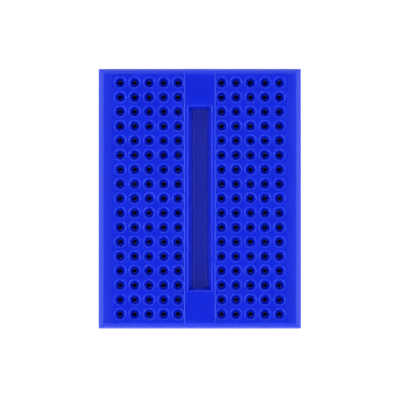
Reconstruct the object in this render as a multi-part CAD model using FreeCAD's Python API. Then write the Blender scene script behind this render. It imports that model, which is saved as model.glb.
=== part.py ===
"""Small solderless breadboard: two banks of seventeen rows, five tie points to a row.

Lengths are in millimetres. X runs across the board, Y along it and Z up. The origin is the centre of the
underside, where the release liner meets the surface that the board stands on. Each row of five tie points
has one sprung metal clip under it, in its own cavity. A pad of adhesive foam closes the cavities from below
and keeps the clips in, and a release liner covers the pad's adhesive until the board is stuck down.
"""

import FreeCAD, Part

import math
import os

Vector = FreeCAD.Vector

# Grid of tie points
PITCH = 2.54
ROWS = 17
TIES_PER_ROW = 5
FIRST_COLUMN_X = 1.5 * PITCH
BANK_CENTRE_X = FIRST_COLUMN_X + PITCH * (TIES_PER_ROW - 1) / 2

# Release liner and adhesive foam pad
PAD_WIDTH = 35.0
PAD_LENGTH = 45.0
LINER_THICKNESS = 0.12
FOAM_THICKNESS = 1.0
BASE_Z = LINER_THICKNESS + FOAM_THICKNESS

# Housing: one moulding, open underneath
HOUSING_WIDTH = 35.8
HOUSING_LENGTH = 45.8
HOUSING_HEIGHT = 8.5
SIDE_DRAFT = 0.15
TOP_EDGE_RADIUS = 1.0
CORNER_RADIUS = 0.25
TOP_Z = BASE_Z + HOUSING_HEIGHT

# Low ridge along the middle, which carries the channel
RIDGE_WIDTH = 5.6
RIDGE_HEIGHT = 0.2
RIDGE_EDGE_RADIUS = 0.19
BANK_Z = TOP_Z - RIDGE_HEIGHT

# Channel between the banks, under the body of a dual-in-line chip
CHANNEL_WIDTH = 4.1
CHANNEL_LENGTH = 32.4
CHANNEL_FLOOR_WIDTH = 2.5
CHANNEL_FLOOR_LENGTH = 30.96
CHANNEL_DEPTH = 3.1
CHANNEL_LIP_RADIUS = 0.24
CHANNEL_FLOOR_RADIUS = 0.25

# Tie point: a funnel that leads into a short round throat
FUNNEL_RADIUS = 0.93
FUNNEL_DEPTH = 1.25
FUNNEL_RIM_RADIUS = 0.25
THROAT_RADIUS = 0.38
PLATE_THICKNESS = 2.0

# Clip cavities
CAVITY_INNER_X = 2.6
CAVITY_OUTER_X = 15.45
CAVITY_WIDTH = 2.0
CAVITY_TOP_Z = BANK_Z - PLATE_THICKNESS

# Contact clip, stamped and bent from one strip
CLIP_THICKNESS = 0.18
CLIP_LENGTH = 12.38
CLIP_WIDTH = 1.8
CLIP_HEIGHT = 6.0
CLIP_SHOULDER_Z = 1.5
PINCH_Z = 4.5
PINCH_GAP = 0.1
MOUTH_GAP = 0.36
LIP_LENGTH = 0.3
FINGER_SLOT = 0.5
SLOT_BOTTOM_Z = 1.3
BASE_BEND = 0.35
SHOULDER_BEND = 1.5
PINCH_BEND = 0.6
MOUTH_BEND = 0.2

OVERSHOOT = 1.0
TOUCHING = 1e-7


def left_normal(direction, axis):
    """Unit vector square to a direction, in the plane that the axis is normal to."""
    return axis.cross(direction).normalize()


def rounded_wire(points, radii):
    """Closed outline through the points, with a tangent arc of its own radius at each."""
    entries = []
    middles = []
    exits = []
    for index, corner in enumerate(points):
        back = (points[index - 1] - corner).normalize()
        ahead = (points[(index + 1) % len(points)] - corner).normalize()
        half_angle = back.getAngle(ahead) / 2
        reach = radii[index] / math.tan(half_angle)
        inward = (back + ahead).normalize() if radii[index] else back
        to_middle = radii[index] / math.sin(half_angle) - radii[index]
        entries.append(corner + back * reach)
        middles.append(corner + inward * to_middle)
        exits.append(corner + ahead * reach)
    edges = []
    for index, start in enumerate(exits):
        if radii[index]:
            edges.append(Part.Arc(entries[index], middles[index], start).toShape())
        end = entries[(index + 1) % len(points)]
        if start.distanceToPoint(end) > TOUCHING:
            edges.append(Part.makeLine(start, end))
    return Part.Wire(edges)


def prism(points, radii, length):
    """Solid with a rounded outline, drawn out along a vector."""
    return Part.Face(rounded_wire(points, radii)).extrude(length)


def block(size_x, size_y, low_z, high_z):
    """Box centred on the Z axis."""
    corner = Vector(-size_x / 2, -size_y / 2, low_z)
    return Part.makeBox(size_x, size_y, high_z - low_z, corner)


def across_profile(half_width, top_z):
    """Outline of a drafted end of the housing, as (distance from the middle, z) pairs."""
    top_half = half_width - SIDE_DRAFT
    return [(-half_width, BASE_Z), (half_width, BASE_Z), (top_half, top_z), (-top_half, top_z)]


def moulded_block(top_z):
    """Outside of the housing: drafted sides, round top edges and slightly round corners."""
    edge_radii = [0, 0, TOP_EDGE_RADIUS, TOP_EDGE_RADIUS]
    half_width = HOUSING_WIDTH / 2
    half_length = HOUSING_LENGTH / 2
    ends = [Vector(x, -half_length, z) for x, z in across_profile(half_width, top_z)]
    sides = [Vector(-half_width, y, z) for y, z in across_profile(half_length, top_z)]
    plan = [
        Vector(-half_width, -half_length, BASE_Z),
        Vector(half_width, -half_length, BASE_Z),
        Vector(half_width, half_length, BASE_Z),
        Vector(-half_width, half_length, BASE_Z),
    ]
    along = prism(ends, edge_radii, Vector(0, HOUSING_LENGTH, 0))
    across = prism(sides, edge_radii, Vector(HOUSING_WIDTH, 0, 0))
    upright = prism(plan, [CORNER_RADIUS] * 4, Vector(0, 0, HOUSING_HEIGHT))
    return along.common(across).common(upright)


def ridged_block():
    """Outside of the housing with the low ridge standing above both banks."""
    half_width = RIDGE_WIDTH / 2
    low_y = -(HOUSING_LENGTH + OVERSHOOT) / 2
    outline = [
        Vector(-half_width, low_y, BASE_Z),
        Vector(half_width, low_y, BASE_Z),
        Vector(half_width, low_y, TOP_Z),
        Vector(-half_width, low_y, TOP_Z),
    ]
    radii = [0, 0, RIDGE_EDGE_RADIUS, RIDGE_EDGE_RADIUS]
    slab = prism(outline, radii, Vector(0, HOUSING_LENGTH + OVERSHOOT, 0))
    return moulded_block(BANK_Z).fuse(moulded_block(TOP_Z).common(slab)).removeSplitter()


def channel_section(floor_size, mouth_size):
    """Half outlines of the channel's section, as (distance, z, radius) from the floor's middle up."""
    floor_z = TOP_Z - CHANNEL_DEPTH
    lean = math.atan2(CHANNEL_DEPTH, (mouth_size - floor_size) / 2)
    mouth = mouth_size / 2
    lip = mouth + CHANNEL_LIP_RADIUS * math.tan(lean / 2)
    return [
        (floor_size / 2, floor_z, CHANNEL_FLOOR_RADIUS),
        (mouth, TOP_Z, CHANNEL_LIP_RADIUS),
        (lip, TOP_Z, 0),
        (lip, TOP_Z + OVERSHOOT, 0),
    ]


def channel_space():
    """Space of the central channel: four leaning walls with round lips and a round-edged floor."""
    across = channel_section(CHANNEL_FLOOR_WIDTH, CHANNEL_WIDTH)
    along = channel_section(CHANNEL_FLOOR_LENGTH, CHANNEL_LENGTH)
    start = HOUSING_LENGTH / 2
    across_points = [Vector(x, -start, z) for x, z, _ in across]
    across_points += [Vector(-x, -start, z) for x, z, _ in across[::-1]]
    along_points = [Vector(-start, y, z) for y, z, _ in along]
    along_points += [Vector(-start, -y, z) for y, z, _ in along[::-1]]
    radii = [radius for _, _, radius in across]
    radii += radii[::-1]
    trough = prism(across_points, radii, Vector(0, HOUSING_LENGTH, 0))
    return trough.common(prism(along_points, radii, Vector(HOUSING_LENGTH, 0, 0)))


def tie_point_space():
    """Space of one tie point on the Z axis, from above the bank's face into the cavity."""
    slope = math.atan2(FUNNEL_DEPTH, FUNNEL_RADIUS - THROAT_RADIUS)
    rim_reach = FUNNEL_RIM_RADIUS * math.tan(slope / 2)
    funnel_bottom_z = BANK_Z - FUNNEL_DEPTH
    outline = [
        Vector(0, 0, BANK_Z + OVERSHOOT),
        Vector(0, 0, CAVITY_TOP_Z - OVERSHOOT),
        Vector(THROAT_RADIUS, 0, CAVITY_TOP_Z - OVERSHOOT),
        Vector(THROAT_RADIUS, 0, funnel_bottom_z),
        Vector(FUNNEL_RADIUS, 0, BANK_Z),
        Vector(FUNNEL_RADIUS + rim_reach, 0, BANK_Z),
        Vector(FUNNEL_RADIUS + rim_reach, 0, BANK_Z + OVERSHOOT),
    ]
    radii = [0, 0, 0, 0, FUNNEL_RIM_RADIUS, 0, 0]
    face = Part.Face(rounded_wire(outline, radii))
    return face.revolve(Vector(0, 0, 0), Vector(0, 0, 1), 360)


def row_positions():
    """Y of every row of tie points, from the -Y end."""
    return [PITCH * (row - (ROWS - 1) / 2) for row in range(ROWS)]


def tie_point_positions():
    """Centre of every tie point, in both banks."""
    positions = []
    for side in (-1, 1):
        for tie in range(TIES_PER_ROW):
            for y in row_positions():
                positions.append(Vector(side * (FIRST_COLUMN_X + PITCH * tie), y, 0))
    return positions


def cavity_spaces():
    """Space of every clip's cavity, open at the housing's underside."""
    length = CAVITY_OUTER_X - CAVITY_INNER_X
    height = CAVITY_TOP_Z - BASE_Z + OVERSHOOT
    spaces = []
    for low_x in (CAVITY_INNER_X, -CAVITY_OUTER_X):
        for y in row_positions():
            corner = Vector(low_x, y - CAVITY_WIDTH / 2, BASE_Z - OVERSHOOT)
            spaces.append(Part.makeBox(length, CAVITY_WIDTH, height, corner))
    return spaces


def make_housing():
    """The moulded housing."""
    tie_point = tie_point_space()
    tie_points = [tie_point.translated(position) for position in tie_point_positions()]
    body = ridged_block().cut(channel_space())
    body = body.cut(Part.makeCompound(cavity_spaces()))
    return body.cut(Part.makeCompound(tie_points))


def clip_centre_line():
    """Bends of the clip's section on the +Y side, as (y, z, bend radius) from the base up."""
    half_sheet = CLIP_THICKNESS / 2
    wall_y = CLIP_WIDTH / 2 - half_sheet
    mouth_y = MOUTH_GAP / 2 + half_sheet
    return [
        (wall_y, half_sheet, BASE_BEND),
        (wall_y, CLIP_SHOULDER_Z, SHOULDER_BEND),
        (PINCH_GAP / 2 + half_sheet, PINCH_Z, PINCH_BEND),
        (mouth_y, CLIP_HEIGHT - half_sheet, MOUTH_BEND),
        (mouth_y + LIP_LENGTH, CLIP_HEIGHT - half_sheet, 0),
    ]


def thickened(points, radii, thickness, axis):
    """Closed outline, with its bend radii, of a strip of sheet that follows the points."""
    left = []
    right = []
    for index, point in enumerate(points):
        before = points[max(index - 1, 0)]
        after = points[min(index + 1, len(points) - 1)]
        arriving = left_normal((point - before) if index else (after - point), axis)
        leaving = left_normal((after - point) if point != after else (point - before), axis)
        mitre = (arriving + leaving) / (1 + arriving.dot(leaving))
        turn = leaving.cross(arriving).dot(axis)
        shift = math.copysign(thickness / 2, turn) if radii[index] else 0
        left.append((point + mitre * (thickness / 2), radii[index] + shift))
        right.append((point - mitre * (thickness / 2), radii[index] - shift))
    outline = left + right[::-1]
    return [point for point, _ in outline], [radius for _, radius in outline]


def finger_slot_space():
    """Round-bottomed slot between two pairs of fingers, cut through both legs of the clip."""
    across = CLIP_WIDTH + OVERSHOOT
    round_z = SLOT_BOTTOM_Z + FINGER_SLOT / 2
    bottom = Part.makeCylinder(FINGER_SLOT / 2, across, Vector(0, -across / 2, round_z), Vector(0, 1, 0))
    return block(FINGER_SLOT, across, round_z, CLIP_HEIGHT + OVERSHOOT).fuse(bottom)


def make_clip():
    """One contact clip, centred on the Z axis with its base at z = 0."""
    half = clip_centre_line()
    section = [(-y, z, radius) for y, z, radius in half[::-1]] + half
    points = [Vector(-CLIP_LENGTH / 2, y, z) for y, z, _ in section]
    radii = [radius for _, _, radius in section]
    outline, outline_radii = thickened(points, radii, CLIP_THICKNESS, Vector(1, 0, 0))
    clip = prism(outline, outline_radii, Vector(CLIP_LENGTH, 0, 0))
    slot = finger_slot_space()
    middles = [PITCH * (gap - (TIES_PER_ROW - 2) / 2) for gap in range(TIES_PER_ROW - 1)]
    slots = [slot.translated(Vector(middle, 0, 0)) for middle in middles]
    return clip.cut(Part.makeCompound(slots))


def make_clips():
    """Every clip in its place, by node name."""
    clip = make_clip()
    clips = {}
    for bank, side in (("left", -1), ("right", 1)):
        for row, y in enumerate(row_positions(), start=1):
            place = Vector(side * BANK_CENTRE_X, y, BASE_Z)
            clips[f"contact_clip_{bank}_{row:02d}"] = clip.translated(place)
    return clips


def make_board():
    """Every sub-part of the breadboard, by node name."""
    parts = {
        "housing": make_housing(),
        "adhesive_foam_pad": block(PAD_WIDTH, PAD_LENGTH, LINER_THICKNESS, BASE_Z),
        "release_liner": block(PAD_WIDTH, PAD_LENGTH, 0, LINER_THICKNESS),
    }
    parts.update(make_clips())
    return parts


def main():
    """Writes one STEP file for each sub-part."""
    os.makedirs("parts", exist_ok=True)
    for name, shape in make_board().items():
        solid_count = len(shape.Solids)
        print(f"{name}: valid {shape.isValid()}, solids {solid_count}, volume {shape.Volume:.2f} mm3")
        solid = shape.Solids[0] if solid_count == 1 else shape
        solid.exportStep(f"parts/{name}.step")


main()
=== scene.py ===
"""Looks of the small solderless breadboard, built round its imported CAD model.

The CAD nodes of the housing and the contact clips keep their shape and get their materials here. The foam pad
and its release liner are soft, so each is a detailed mesh that stands for its plain CAD solid. Lengths are in
metres, in the frame of the CAD model: X across the board, Y along it and Z up.
"""

import math

import bmesh
import bpy
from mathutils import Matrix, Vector, noise


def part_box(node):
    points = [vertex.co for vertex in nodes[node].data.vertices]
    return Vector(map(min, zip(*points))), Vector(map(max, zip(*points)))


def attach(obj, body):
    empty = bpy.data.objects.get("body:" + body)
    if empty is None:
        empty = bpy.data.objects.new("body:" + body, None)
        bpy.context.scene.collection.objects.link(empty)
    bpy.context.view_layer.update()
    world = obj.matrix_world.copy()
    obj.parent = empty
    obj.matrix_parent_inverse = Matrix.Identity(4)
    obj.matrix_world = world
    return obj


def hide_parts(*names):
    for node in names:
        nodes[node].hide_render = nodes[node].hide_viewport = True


MM = 0.001

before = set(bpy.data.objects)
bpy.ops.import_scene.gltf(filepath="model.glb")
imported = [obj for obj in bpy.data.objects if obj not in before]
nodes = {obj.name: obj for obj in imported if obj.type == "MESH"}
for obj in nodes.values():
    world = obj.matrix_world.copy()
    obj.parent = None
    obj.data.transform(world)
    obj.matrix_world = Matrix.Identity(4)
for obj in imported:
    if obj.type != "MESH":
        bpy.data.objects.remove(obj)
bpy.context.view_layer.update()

# Camera: far above the board and a little in front of it. A tilt of 0 would look straight down
CAMERA_TARGET = Vector((0.04 * MM, -0.3 * MM, 9.5 * MM))
CAMERA_DISTANCE = 1.0
CAMERA_TILT = math.radians(1.2)
VIEW_WIDTH = 70.15 * MM
SENSOR_WIDTH = 36.0
CAMERA_CLIP = (0.1, 100)

# Foam pad: mesh spacing, round corners, and how far its sides and faces stray
FOAM_SPACING = 0.25 * MM
FOAM_LAYERS = 8
FOAM_CORNER = 0.6 * MM
FOAM_WAIST = 0.12 * MM
FOAM_RAGGED = 0.12 * MM
FOAM_RAGGED_SIZE = 0.7 * MM
FOAM_DIMPLE = 0.03 * MM
FOAM_DIMPLE_SIZE = 1.5 * MM

# Release liner: the thickness of its paper, its mesh, and how far its edge and faces stray
PAPER_THICKNESS = 0.08 * MM
LINER_SPACING = 0.5 * MM
LINER_RAGGED = 0.08 * MM
LINER_RAGGED_SIZE = 2.5 * MM
LINER_WAVE_SIZE = 9 * MM

SHARP_ANGLE = math.radians(40)

# Noise of the materials: its layers of detail, how strong the finer ones are, and the values it mostly has
NOISE_DETAIL = 3
NOISE_ROUGHNESS = 0.55
NOISE_SPAN = (0.3, 0.7)

# Blue plastic: its two shades, the painted shade of the channel floor, roughness, and how far light spreads
# inside it
PLASTIC_SHADES = ((0.0018, 0.0115, 0.55), (0.0026, 0.0138, 0.59))
PLASTIC_CHANNEL_PAINTED_SHADE = (0.009, 0.0095, 0.5)
PLASTIC_CLOUD_SIZE = 5 * MM
PLASTIC_ROUGHNESS = (0.2, 0.25)
PLASTIC_SMEAR_SIZE = 2.5 * MM
PLASTIC_SMEAR_DETAIL = 4
PLASTIC_IOR = 1.5
PLASTIC_SPECULAR_LEVEL = 0.58
PLASTIC_SPECULAR_TINT = (0.6, 0.95, 1, 1)
PLASTIC_SPREAD = (0.2, 0.5, 1.0)
PLASTIC_SPREAD_SCALE = 1.0 * MM
# Size and depth of the plastic's long ripple and of its fine grain, and the layers of detail of both
PLASTIC_RIPPLE = (0.5 * MM, 0.0015 * MM)
PLASTIC_GRAIN = (0.08 * MM, 0.0003 * MM)
PLASTIC_GRAIN_DETAIL = 2

# Extra roughness of the housing where it is handled, and on the floor of its channel, whose colour there is a
# painted shade. Each patch fades between two distances from the middle of the board, and the channel's floor
# also between two heights
MARGIN_DULLING = 0.15
MARGIN_ACROSS = (14.6 * MM, 16.6 * MM)
MARGIN_ALONG = (21.2 * MM, 22.6 * MM)
CHANNEL_DULLING = 0.15
CHANNEL_ACROSS = (1.2 * MM, 1.6 * MM)
CHANNEL_ALONG = (15.7 * MM, 16.3 * MM)
CHANNEL_HEIGHT = (6.7 * MM, 7.4 * MM)

# Nickel plate: bright and tarnished, with streaks along the strip
NICKEL_SHADES = ((0.72, 0.72, 0.73), (0.56, 0.54, 0.52))
NICKEL_TARNISH_SIZE = 1.5 * MM
NICKEL_TARNISH_SPAN = (0.45, 0.75)
NICKEL_STREAK_STRETCH = (0.06, 1, 1)
NICKEL_STREAK_SIZE = 0.09 * MM
NICKEL_STREAK_DEPTH = 0.002 * MM
NICKEL_STREAK_DETAIL = 4
NICKEL_ROUGHNESS = (0.4, 0.56)

# Foam: the painted shade in the pits of its cells and the paler walls between them, and how far light spreads
# inside it
FOAM_PIT_SHADE_AND_WALL_COLOUR = ((0.46, 0.45, 0.4), (0.66, 0.65, 0.6))
FOAM_SHADE_SPAN = (0.1, 0.6)
FOAM_ROUGHNESS = 0.85
FOAM_SPREAD_WEIGHT = 0.4
FOAM_SPREAD = (1, 0.9, 0.7)
FOAM_SPREAD_SCALE = 0.3 * MM
# Size and depth of the foam's small and large cells
FOAM_SMALL_CELLS = (0.16 * MM, 0.05 * MM)
FOAM_LARGE_CELLS = (0.35 * MM, 0.04 * MM)

# Release paper: shades of its fibres, a darker cloud, and how its fibres are stretched
PAPER_SHADES = ((0.49, 0.42, 0.29), (0.58, 0.51, 0.37))
PAPER_CLOUD_SHADE = (0.45, 0.37, 0.24)
PAPER_CLOUD_SIZE = 4 * MM
PAPER_CLOUD_SHARE = 0.25
PAPER_FIBRE_STRETCH = (1, 0.3, 1)
PAPER_FIBRE_SIZE = 0.35 * MM
PAPER_FIBRE_DEPTH = 0.006 * MM
PAPER_FIBRE_DETAIL = 6
PAPER_FIBRE_ROUGHNESS = 0.7
PAPER_ROUGHNESS = (0.3, 0.45)

# Studio
FLOOR_RADIUS = 30.0
FLOOR_SEGMENTS = 64
FLOOR_COLOUR = (0.33, 0.33, 0.33)
FLOOR_GLOW = 0.76
FLOOR_GRAIN_SIZE = 8 * MM
FLOOR_GRAIN_CONTRAST = 1.03
FLOOR_ROUGHNESS = 0.9
FLOOR_SPECULAR_LEVEL = 0.1
# Light of the room, as (sine of the height above the horizon, radiance). High up it is brighter behind the
# board and darker in front of it: by this share of the direction's Y, times a power of that sine
ROOM_LIGHT = ((0.0, 1.42), (0.3, 1.2), (0.5, 0.9), (0.92, 0.64), (0.97, 0.1))
ROOM_BEHIND = 1.2
ROOM_BEHIND_POWER = 2
# Two wide softboxes, in front to the left and right: degrees from -Y and above the horizon, metres, radiance
SOFTBOX_AZIMUTH = 61
SOFTBOX_ELEVATION = 42
SOFTBOX_DISTANCE = 1.2
SOFTBOX_WIDTH = 1.7
SOFTBOX_HEIGHT = 0.97
SOFTBOX_LIGHT = 2.0


def new_material(name):
    """Material whose node tree holds only an output and a principled shader, and that shader."""
    material = bpy.data.materials.new(name)
    material.use_nodes = True
    tree = material.node_tree
    tree.nodes.clear()
    output = tree.nodes.new("ShaderNodeOutputMaterial")
    shader = tree.nodes.new("ShaderNodeBsdfPrincipled")
    tree.links.new(shader.outputs["BSDF"], output.inputs["Surface"])
    return material, shader


class Graph:
    """Short calls for building the nodes of a material or of the world."""

    def __init__(self, owner):
        self.tree = owner.node_tree

    def node(self, kind, **values):
        made = self.tree.nodes.new(kind)
        for name, value in values.items():
            setattr(made, name, value)
        return made

    def link(self, source, target):
        self.tree.links.new(source, target)

    def place(self):
        """The point's place in the object's own frame, in metres."""
        return self.node("ShaderNodeTexCoord").outputs["Object"]

    def away_from_middle(self, vector):
        """Distance of a place from the middle across and along, and its height."""
        unsigned = self.node("ShaderNodeVectorMath", operation="ABSOLUTE")
        self.link(vector, unsigned.inputs[0])
        split = self.node("ShaderNodeSeparateXYZ")
        self.link(unsigned.outputs["Vector"], split.inputs["Vector"])
        return split.outputs["X"], split.outputs["Y"], split.outputs["Z"]

    def calculate(self, operation, first, second):
        made = self.node("ShaderNodeMath", operation=operation)
        self.link(first, made.inputs[0])
        self.link(second, made.inputs[1])
        return made.outputs["Value"]

    def stretched(self, vector, scale):
        mapping = self.node("ShaderNodeMapping")
        mapping.inputs["Scale"].default_value = scale
        self.link(vector, mapping.inputs["Vector"])
        return mapping.outputs["Vector"]

    def noise(self, vector, size, detail=NOISE_DETAIL, roughness=NOISE_ROUGHNESS):
        """Noise from 0 to 1 whose blobs are about size metres across."""
        made = self.node("ShaderNodeTexNoise")
        made.inputs["Scale"].default_value = 1 / size
        made.inputs["Detail"].default_value = detail
        made.inputs["Roughness"].default_value = roughness
        self.link(vector, made.inputs["Vector"])
        return made.outputs["Fac"]

    def cells(self, vector, size):
        """Distance to the nearest of a scatter of points about size metres apart."""
        made = self.node("ShaderNodeTexVoronoi", feature="F1")
        made.inputs["Scale"].default_value = 1 / size
        self.link(vector, made.inputs["Vector"])
        return made.outputs["Distance"]

    def ramp(self, value, low, high, from_low=NOISE_SPAN[0], from_high=NOISE_SPAN[1]):
        """value taken from one range to another, and held at its ends."""
        made = self.node("ShaderNodeMapRange")
        made.inputs["From Min"].default_value = from_low
        made.inputs["From Max"].default_value = from_high
        made.inputs["To Min"].default_value = low
        made.inputs["To Max"].default_value = high
        self.link(value, made.inputs["Value"])
        return made.outputs["Result"]

    def mix(self, factor, first, second):
        """One colour at factor 0 and the other at 1."""
        made = self.node("ShaderNodeMix", data_type="RGBA")
        self.link(factor, made.inputs[0])
        for socket, colour in ((made.inputs[6], first), (made.inputs[7], second)):
            if isinstance(colour, tuple):
                socket.default_value = (*colour, 1)
            else:
                self.link(colour, socket)
        return made.outputs[2]

    def bump(self, height, depth, normal=None):
        """Surface normal of a height from 0 to 1 that stands for depth metres."""
        made = self.node("ShaderNodeBump")
        made.inputs["Strength"].default_value = 1.0
        made.inputs["Distance"].default_value = depth
        self.link(height, made.inputs["Height"])
        if normal is not None:
            self.link(normal, made.inputs["Normal"])
        return made.outputs["Normal"]


def blue_plastic():
    """Injection-moulded ABS: glossy, a little translucent, duller where it is handled, and with painted shade
    on the channel floor.
    """
    material, shader = new_material("blue_abs")
    graph = Graph(material)
    place = graph.place()
    cloud = graph.noise(place, PLASTIC_CLOUD_SIZE)
    plain = graph.mix(graph.ramp(cloud, 0, 1), *PLASTIC_SHADES)
    across, along, height = graph.away_from_middle(place)
    smears = graph.noise(place, PLASTIC_SMEAR_SIZE, detail=PLASTIC_SMEAR_DETAIL)
    smear = graph.ramp(smears, *PLASTIC_ROUGHNESS)
    margin = graph.calculate(
        "MAXIMUM",
        graph.ramp(across, 0, MARGIN_DULLING, *MARGIN_ACROSS),
        graph.ramp(along, 0, MARGIN_DULLING, *MARGIN_ALONG),
    )
    channel = graph.calculate(
        "MULTIPLY",
        graph.ramp(across, 1, 0, *CHANNEL_ACROSS),
        graph.ramp(along, 1, 0, *CHANNEL_ALONG),
    )
    channel_floor_shade_and_dulling = graph.calculate("MULTIPLY", channel, graph.ramp(height, 1, 0, *CHANNEL_HEIGHT))
    # Painted shade: the floor of the deep channel is given a darker, greyer blue than the rest of the
    # moulding
    graph.link(graph.mix(channel_floor_shade_and_dulling, plain, PLASTIC_CHANNEL_PAINTED_SHADE), shader.inputs["Base Color"])
    channel_dulling = graph.ramp(channel_floor_shade_and_dulling, 0, CHANNEL_DULLING, 0, 1)
    dulling = graph.calculate("ADD", margin, channel_dulling)
    graph.link(graph.calculate("ADD", smear, dulling), shader.inputs["Roughness"])
    shader.inputs["IOR"].default_value = PLASTIC_IOR
    shader.inputs["Specular IOR Level"].default_value = PLASTIC_SPECULAR_LEVEL
    shader.inputs["Specular Tint"].default_value = PLASTIC_SPECULAR_TINT
    shader.inputs["Subsurface Weight"].default_value = 1.0
    shader.inputs["Subsurface Radius"].default_value = PLASTIC_SPREAD
    shader.inputs["Subsurface Scale"].default_value = PLASTIC_SPREAD_SCALE
    ripple_size, ripple_depth = PLASTIC_RIPPLE
    grain_size, grain_depth = PLASTIC_GRAIN
    ripple = graph.bump(graph.noise(place, ripple_size, detail=PLASTIC_GRAIN_DETAIL), ripple_depth)
    grain = graph.noise(place, grain_size, detail=PLASTIC_GRAIN_DETAIL)
    graph.link(graph.bump(grain, grain_depth, normal=ripple), shader.inputs["Normal"])
    return material


def nickel_plate():
    """Nickel plate over rolled bronze strip, dulled in patches."""
    material, shader = new_material("nickel_plated_bronze")
    graph = Graph(material)
    place = graph.place()
    tarnish = graph.ramp(graph.noise(place, NICKEL_TARNISH_SIZE), 0, 1, *NICKEL_TARNISH_SPAN)
    graph.link(graph.mix(tarnish, *NICKEL_SHADES), shader.inputs["Base Color"])
    shader.inputs["Metallic"].default_value = 1
    streak_place = graph.stretched(place, NICKEL_STREAK_STRETCH)
    streaks = graph.noise(streak_place, NICKEL_STREAK_SIZE, detail=NICKEL_STREAK_DETAIL)
    graph.link(graph.ramp(streaks, *NICKEL_ROUGHNESS), shader.inputs["Roughness"])
    graph.link(graph.bump(streaks, NICKEL_STREAK_DEPTH), shader.inputs["Normal"])
    return material


def foam():
    """Closed-cell foam tape: pale, soft, with fine cells that show where it is cut, their pits painted darker
    as shade.
    """
    material, shader = new_material("foam_tape")
    graph = Graph(material)
    place = graph.place()
    small_size, small_depth = FOAM_SMALL_CELLS
    large_size, large_depth = FOAM_LARGE_CELLS
    small = graph.cells(place, small_size)
    large = graph.cells(place, large_size)
    # Painted shade: the pits of the cells, which the bump sinks, are coloured darker than the walls between
    # them
    colour = graph.mix(graph.ramp(small, 0, 1, *FOAM_SHADE_SPAN), *FOAM_PIT_SHADE_AND_WALL_COLOUR)
    graph.link(colour, shader.inputs["Base Color"])
    shader.inputs["Roughness"].default_value = FOAM_ROUGHNESS
    shader.inputs["Subsurface Weight"].default_value = FOAM_SPREAD_WEIGHT
    shader.inputs["Subsurface Radius"].default_value = FOAM_SPREAD
    shader.inputs["Subsurface Scale"].default_value = FOAM_SPREAD_SCALE
    pits = graph.bump(small, small_depth)
    graph.link(graph.bump(large, large_depth, normal=pits), shader.inputs["Normal"])
    return material


def release_paper():
    """Siliconed kraft paper: pale brown, faintly mottled by its fibres, with a soft gloss."""
    material, shader = new_material("release_paper")
    graph = Graph(material)
    place = graph.place()
    fibre_place = graph.stretched(place, PAPER_FIBRE_STRETCH)
    fibres = graph.noise(fibre_place, PAPER_FIBRE_SIZE, PAPER_FIBRE_DETAIL, PAPER_FIBRE_ROUGHNESS)
    clouds = graph.noise(place, PAPER_CLOUD_SIZE)
    base = graph.mix(graph.ramp(fibres, 0, 1), *PAPER_SHADES)
    colour = graph.mix(graph.ramp(clouds, 0, PAPER_CLOUD_SHARE), base, PAPER_CLOUD_SHADE)
    graph.link(colour, shader.inputs["Base Color"])
    graph.link(graph.ramp(fibres, *PAPER_ROUGHNESS), shader.inputs["Roughness"])
    graph.link(graph.bump(fibres, PAPER_FIBRE_DEPTH), shader.inputs["Normal"])
    return material


def floor_paint():
    """Pale studio floor with a barely seen grain."""
    material, shader = new_material("studio_floor")
    graph = Graph(material)
    grain = graph.noise(graph.place(), FLOOR_GRAIN_SIZE)
    paler = tuple(channel * FLOOR_GRAIN_CONTRAST for channel in FLOOR_COLOUR)
    graph.link(graph.mix(graph.ramp(grain, 0, 1), FLOOR_COLOUR, paler), shader.inputs["Base Color"])
    shader.inputs["Roughness"].default_value = FLOOR_ROUGHNESS
    shader.inputs["Specular IOR Level"].default_value = FLOOR_SPECULAR_LEVEL
    shader.inputs["Emission Color"].default_value = (1, 1, 1, 1)
    shader.inputs["Emission Strength"].default_value = FLOOR_GLOW
    return material


def wear(obj, material):
    """Gives every face of an object one material."""
    obj.data.materials.clear()
    obj.data.materials.append(material)
    for face in obj.data.polygons:
        face.material_index = 0


def dress_cad():
    """Materials of the CAD nodes that are shown."""
    plastic = blue_plastic()
    metal = nickel_plate()
    for name, node in nodes.items():
        if name == "housing":
            wear(node, plastic)
        elif name.startswith("contact_clip"):
            wear(node, metal)


def stations(low, high, spacing):
    """Even values from low to high, about spacing apart."""
    count = round((high - low) / spacing)
    return [low + (high - low) * step / count for step in range(count + 1)]


def round_corner(x, y, half_size, radius):
    """A square-cornered rectangle's point, moved to its place in a round-cornered one."""
    past_x = abs(x) - (half_size.x - radius)
    past_y = abs(y) - (half_size.y - radius)
    if past_x <= 0 or past_y <= 0:
        return x, y
    pull = max(past_x, past_y) / math.hypot(past_x, past_y)
    new_x = math.copysign(half_size.x - radius + past_x * pull, x)
    new_y = math.copysign(half_size.y - radius + past_y * pull, y)
    return new_x, new_y


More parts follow.
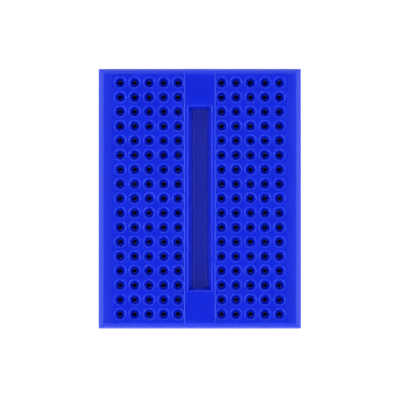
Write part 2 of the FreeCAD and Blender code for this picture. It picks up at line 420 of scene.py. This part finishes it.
def slab(name, box, spacing, layers, shape):
    """Closed slab in a CAD node's box: a grid below and one above, with rings of wall between their rims.

    shape takes a point's x and y, and its height as a share of the thickness, and gives its place.
    """
    low, high = box
    columns = stations(low.x, high.x, spacing)
    rows = stations(low.y, high.y, spacing)
    last_column, last_row = len(columns) - 1, len(rows) - 1
    rim = [(i, 0) for i in range(last_column)]
    rim += [(last_column, j) for j in range(last_row)]
    rim += [(i, last_row) for i in range(last_column, 0, -1)]
    rim += [(0, j) for j in range(last_row, 0, -1)]
    mesh = bmesh.new()

    def corner(i, j, height):
        return mesh.verts.new(shape(columns[i], rows[j], height))

    below = [[corner(i, j, 0) for j in range(len(rows))] for i in range(len(columns))]
    above = [[corner(i, j, 1) for j in range(len(rows))] for i in range(len(columns))]
    for i in range(last_column):
        for j in range(last_row):
            mesh.faces.new((below[i][j], below[i][j + 1], below[i + 1][j + 1], below[i + 1][j]))
            mesh.faces.new((above[i][j], above[i + 1][j], above[i + 1][j + 1], above[i][j + 1]))
    rings = [[below[i][j] for i, j in rim]]
    rings += [[corner(i, j, layer / layers) for i, j in rim] for layer in range(1, layers)]
    rings += [[above[i][j] for i, j in rim]]
    for lower, upper in zip(rings, rings[1:]):
        for here in range(len(rim)):
            ahead = (here + 1) % len(rim)
            mesh.faces.new((lower[here], lower[ahead], upper[ahead], upper[here]))
    data = bpy.data.meshes.new(name)
    mesh.to_mesh(data)
    mesh.free()
    data.shade_smooth()
    data.set_sharp_from_angle(angle=SHARP_ANGLE)
    made = bpy.data.objects.new(name, data)
    bpy.context.scene.collection.objects.link(made)
    return made


def unevenness(x, y, z, size):
    """Smooth noise from 0 to 1 whose bumps are about size metres across."""
    return 0.5 + 0.5 * noise.noise(Vector((x, y, z)) / size)


def cut_edge(x, y, box, radius, inset):
    """A point of a die-cut outline with round corners, drawn in by inset."""
    half_size = (box[1] - box[0]) / 2
    x, y = round_corner(x, y, half_size, radius)
    return x * (1 - inset / half_size.x), y * (1 - inset / half_size.y)


def make_foam_pad():
    """Foam tape under the housing, whose cut sides are drawn in where its two faces are stuck."""
    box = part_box("adhesive_foam_pad")
    low, high = box

    def shape(x, y, height):
        z = low.z + (high.z - low.z) * height
        ragged = unevenness(x, y, z, FOAM_RAGGED_SIZE) * FOAM_RAGGED
        waist = math.sin(math.pi * height) * FOAM_WAIST
        x, y = cut_edge(x, y, box, FOAM_CORNER, waist + ragged)
        dimple = unevenness(x, y, z, FOAM_DIMPLE_SIZE) * FOAM_DIMPLE
        return Vector((x, y, z + dimple * (1 - 2 * height)))

    pad = slab("foam_pad", box, FOAM_SPACING, FOAM_LAYERS, shape)
    wear(pad, foam())
    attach(pad, "board")
    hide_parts("adhesive_foam_pad")
    return pad


def make_liner(pad):
    """Paper liner under the foam pad: flat, but never quite."""
    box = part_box("release_liner")
    low, high = box

    def shape(x, y, height):
        ragged = unevenness(x, y, low.z, LINER_RAGGED_SIZE) * LINER_RAGGED
        x, y = cut_edge(x, y, box, FOAM_CORNER, ragged)
        wave = unevenness(x, y, low.z, LINER_WAVE_SIZE) * (high.z - low.z - PAPER_THICKNESS)
        return Vector((x, y, low.z + wave + height * PAPER_THICKNESS))

    liner = slab("paper_liner", box, LINER_SPACING, 1, shape)
    wear(liner, release_paper())
    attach(liner, "liner")
    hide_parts("release_liner")


def make_camera():
    """Long lens, almost straight above."""
    data = bpy.data.cameras.new("camera")
    camera = bpy.data.objects.new("camera", data)
    bpy.context.scene.collection.objects.link(camera)
    data.sensor_width = SENSOR_WIDTH
    data.lens = SENSOR_WIDTH * CAMERA_DISTANCE / VIEW_WIDTH
    data.clip_start, data.clip_end = CAMERA_CLIP
    back = Vector((0, -math.sin(CAMERA_TILT), math.cos(CAMERA_TILT)))
    camera.location = CAMERA_TARGET + back * CAMERA_DISTANCE
    camera.rotation_euler = (CAMERA_TILT, 0, 0)
    bpy.context.scene.camera = camera


def make_floor():
    """Round pale floor that the board lies on."""
    mesh = bmesh.new()
    bmesh.ops.create_circle(mesh, cap_ends=True, segments=FLOOR_SEGMENTS, radius=FLOOR_RADIUS)
    data = bpy.data.meshes.new("floor")
    mesh.to_mesh(data)
    mesh.free()
    floor = bpy.data.objects.new("floor", data)
    bpy.context.scene.collection.objects.link(floor)
    wear(floor, floor_paint())


def make_room():
    """Light of the room: pale near the horizon, brighter high up behind, and dark where the camera is."""
    world = bpy.data.worlds.new("room")
    bpy.context.scene.world = world
    world.use_nodes = True
    world.node_tree.nodes.clear()
    graph = Graph(world)
    split = graph.node("ShaderNodeSeparateXYZ")
    graph.link(graph.node("ShaderNodeTexCoord").outputs["Generated"], split.inputs["Vector"])
    ramp = graph.node("ShaderNodeValToRGB")
    elements = ramp.color_ramp.elements
    while len(elements) < len(ROOM_LIGHT):
        elements.new(1.0)
    for element, (height, light) in zip(elements, ROOM_LIGHT):
        element.position = height
        element.color = (light, light, light, 1)
    graph.link(split.outputs["Z"], ramp.inputs["Fac"])
    high_up = graph.node("ShaderNodeMath", operation="POWER")
    high_up.inputs[1].default_value = ROOM_BEHIND_POWER
    graph.link(split.outputs["Z"], high_up.inputs[0])
    strength = graph.node("ShaderNodeMath", operation="MULTIPLY_ADD")
    strength.inputs[1].default_value = ROOM_BEHIND
    strength.inputs[2].default_value = 1
    graph.link(graph.calculate("MULTIPLY", high_up.outputs["Value"], split.outputs["Y"]), strength.inputs[0])
    background = graph.node("ShaderNodeBackground")
    graph.link(ramp.outputs["Color"], background.inputs["Color"])
    graph.link(strength.outputs["Value"], background.inputs["Strength"])
    output = graph.node("ShaderNodeOutputWorld")
    graph.link(background.outputs["Background"], output.inputs["Surface"])


def make_softbox(name, azimuth):
    """Wide soft light aimed at the board. Azimuth is in degrees from -Y, towards +X."""
    data = bpy.data.lights.new(name, "AREA")
    data.shape = "RECTANGLE"
    data.size = SOFTBOX_WIDTH
    data.size_y = SOFTBOX_HEIGHT
    data.energy = SOFTBOX_LIGHT * math.pi * SOFTBOX_WIDTH * SOFTBOX_HEIGHT
    light = bpy.data.objects.new(name, data)
    bpy.context.scene.collection.objects.link(light)
    turn, rise = math.radians(azimuth), math.radians(SOFTBOX_ELEVATION)
    away = Vector((math.sin(turn) * math.cos(rise), -math.cos(turn) * math.cos(rise), math.sin(rise)))
    light.location = away * SOFTBOX_DISTANCE
    light.rotation_euler = away.to_track_quat("Z", "Y").to_euler()


def make_studio():
    """Camera, floor and lights."""
    make_camera()
    make_floor()
    make_room()
    make_softbox("softbox_left", -SOFTBOX_AZIMUTH)
    make_softbox("softbox_right", SOFTBOX_AZIMUTH)
    bpy.context.scene.view_settings.view_transform = "Standard"


dress_cad()
make_liner(make_foam_pad())
make_studio()
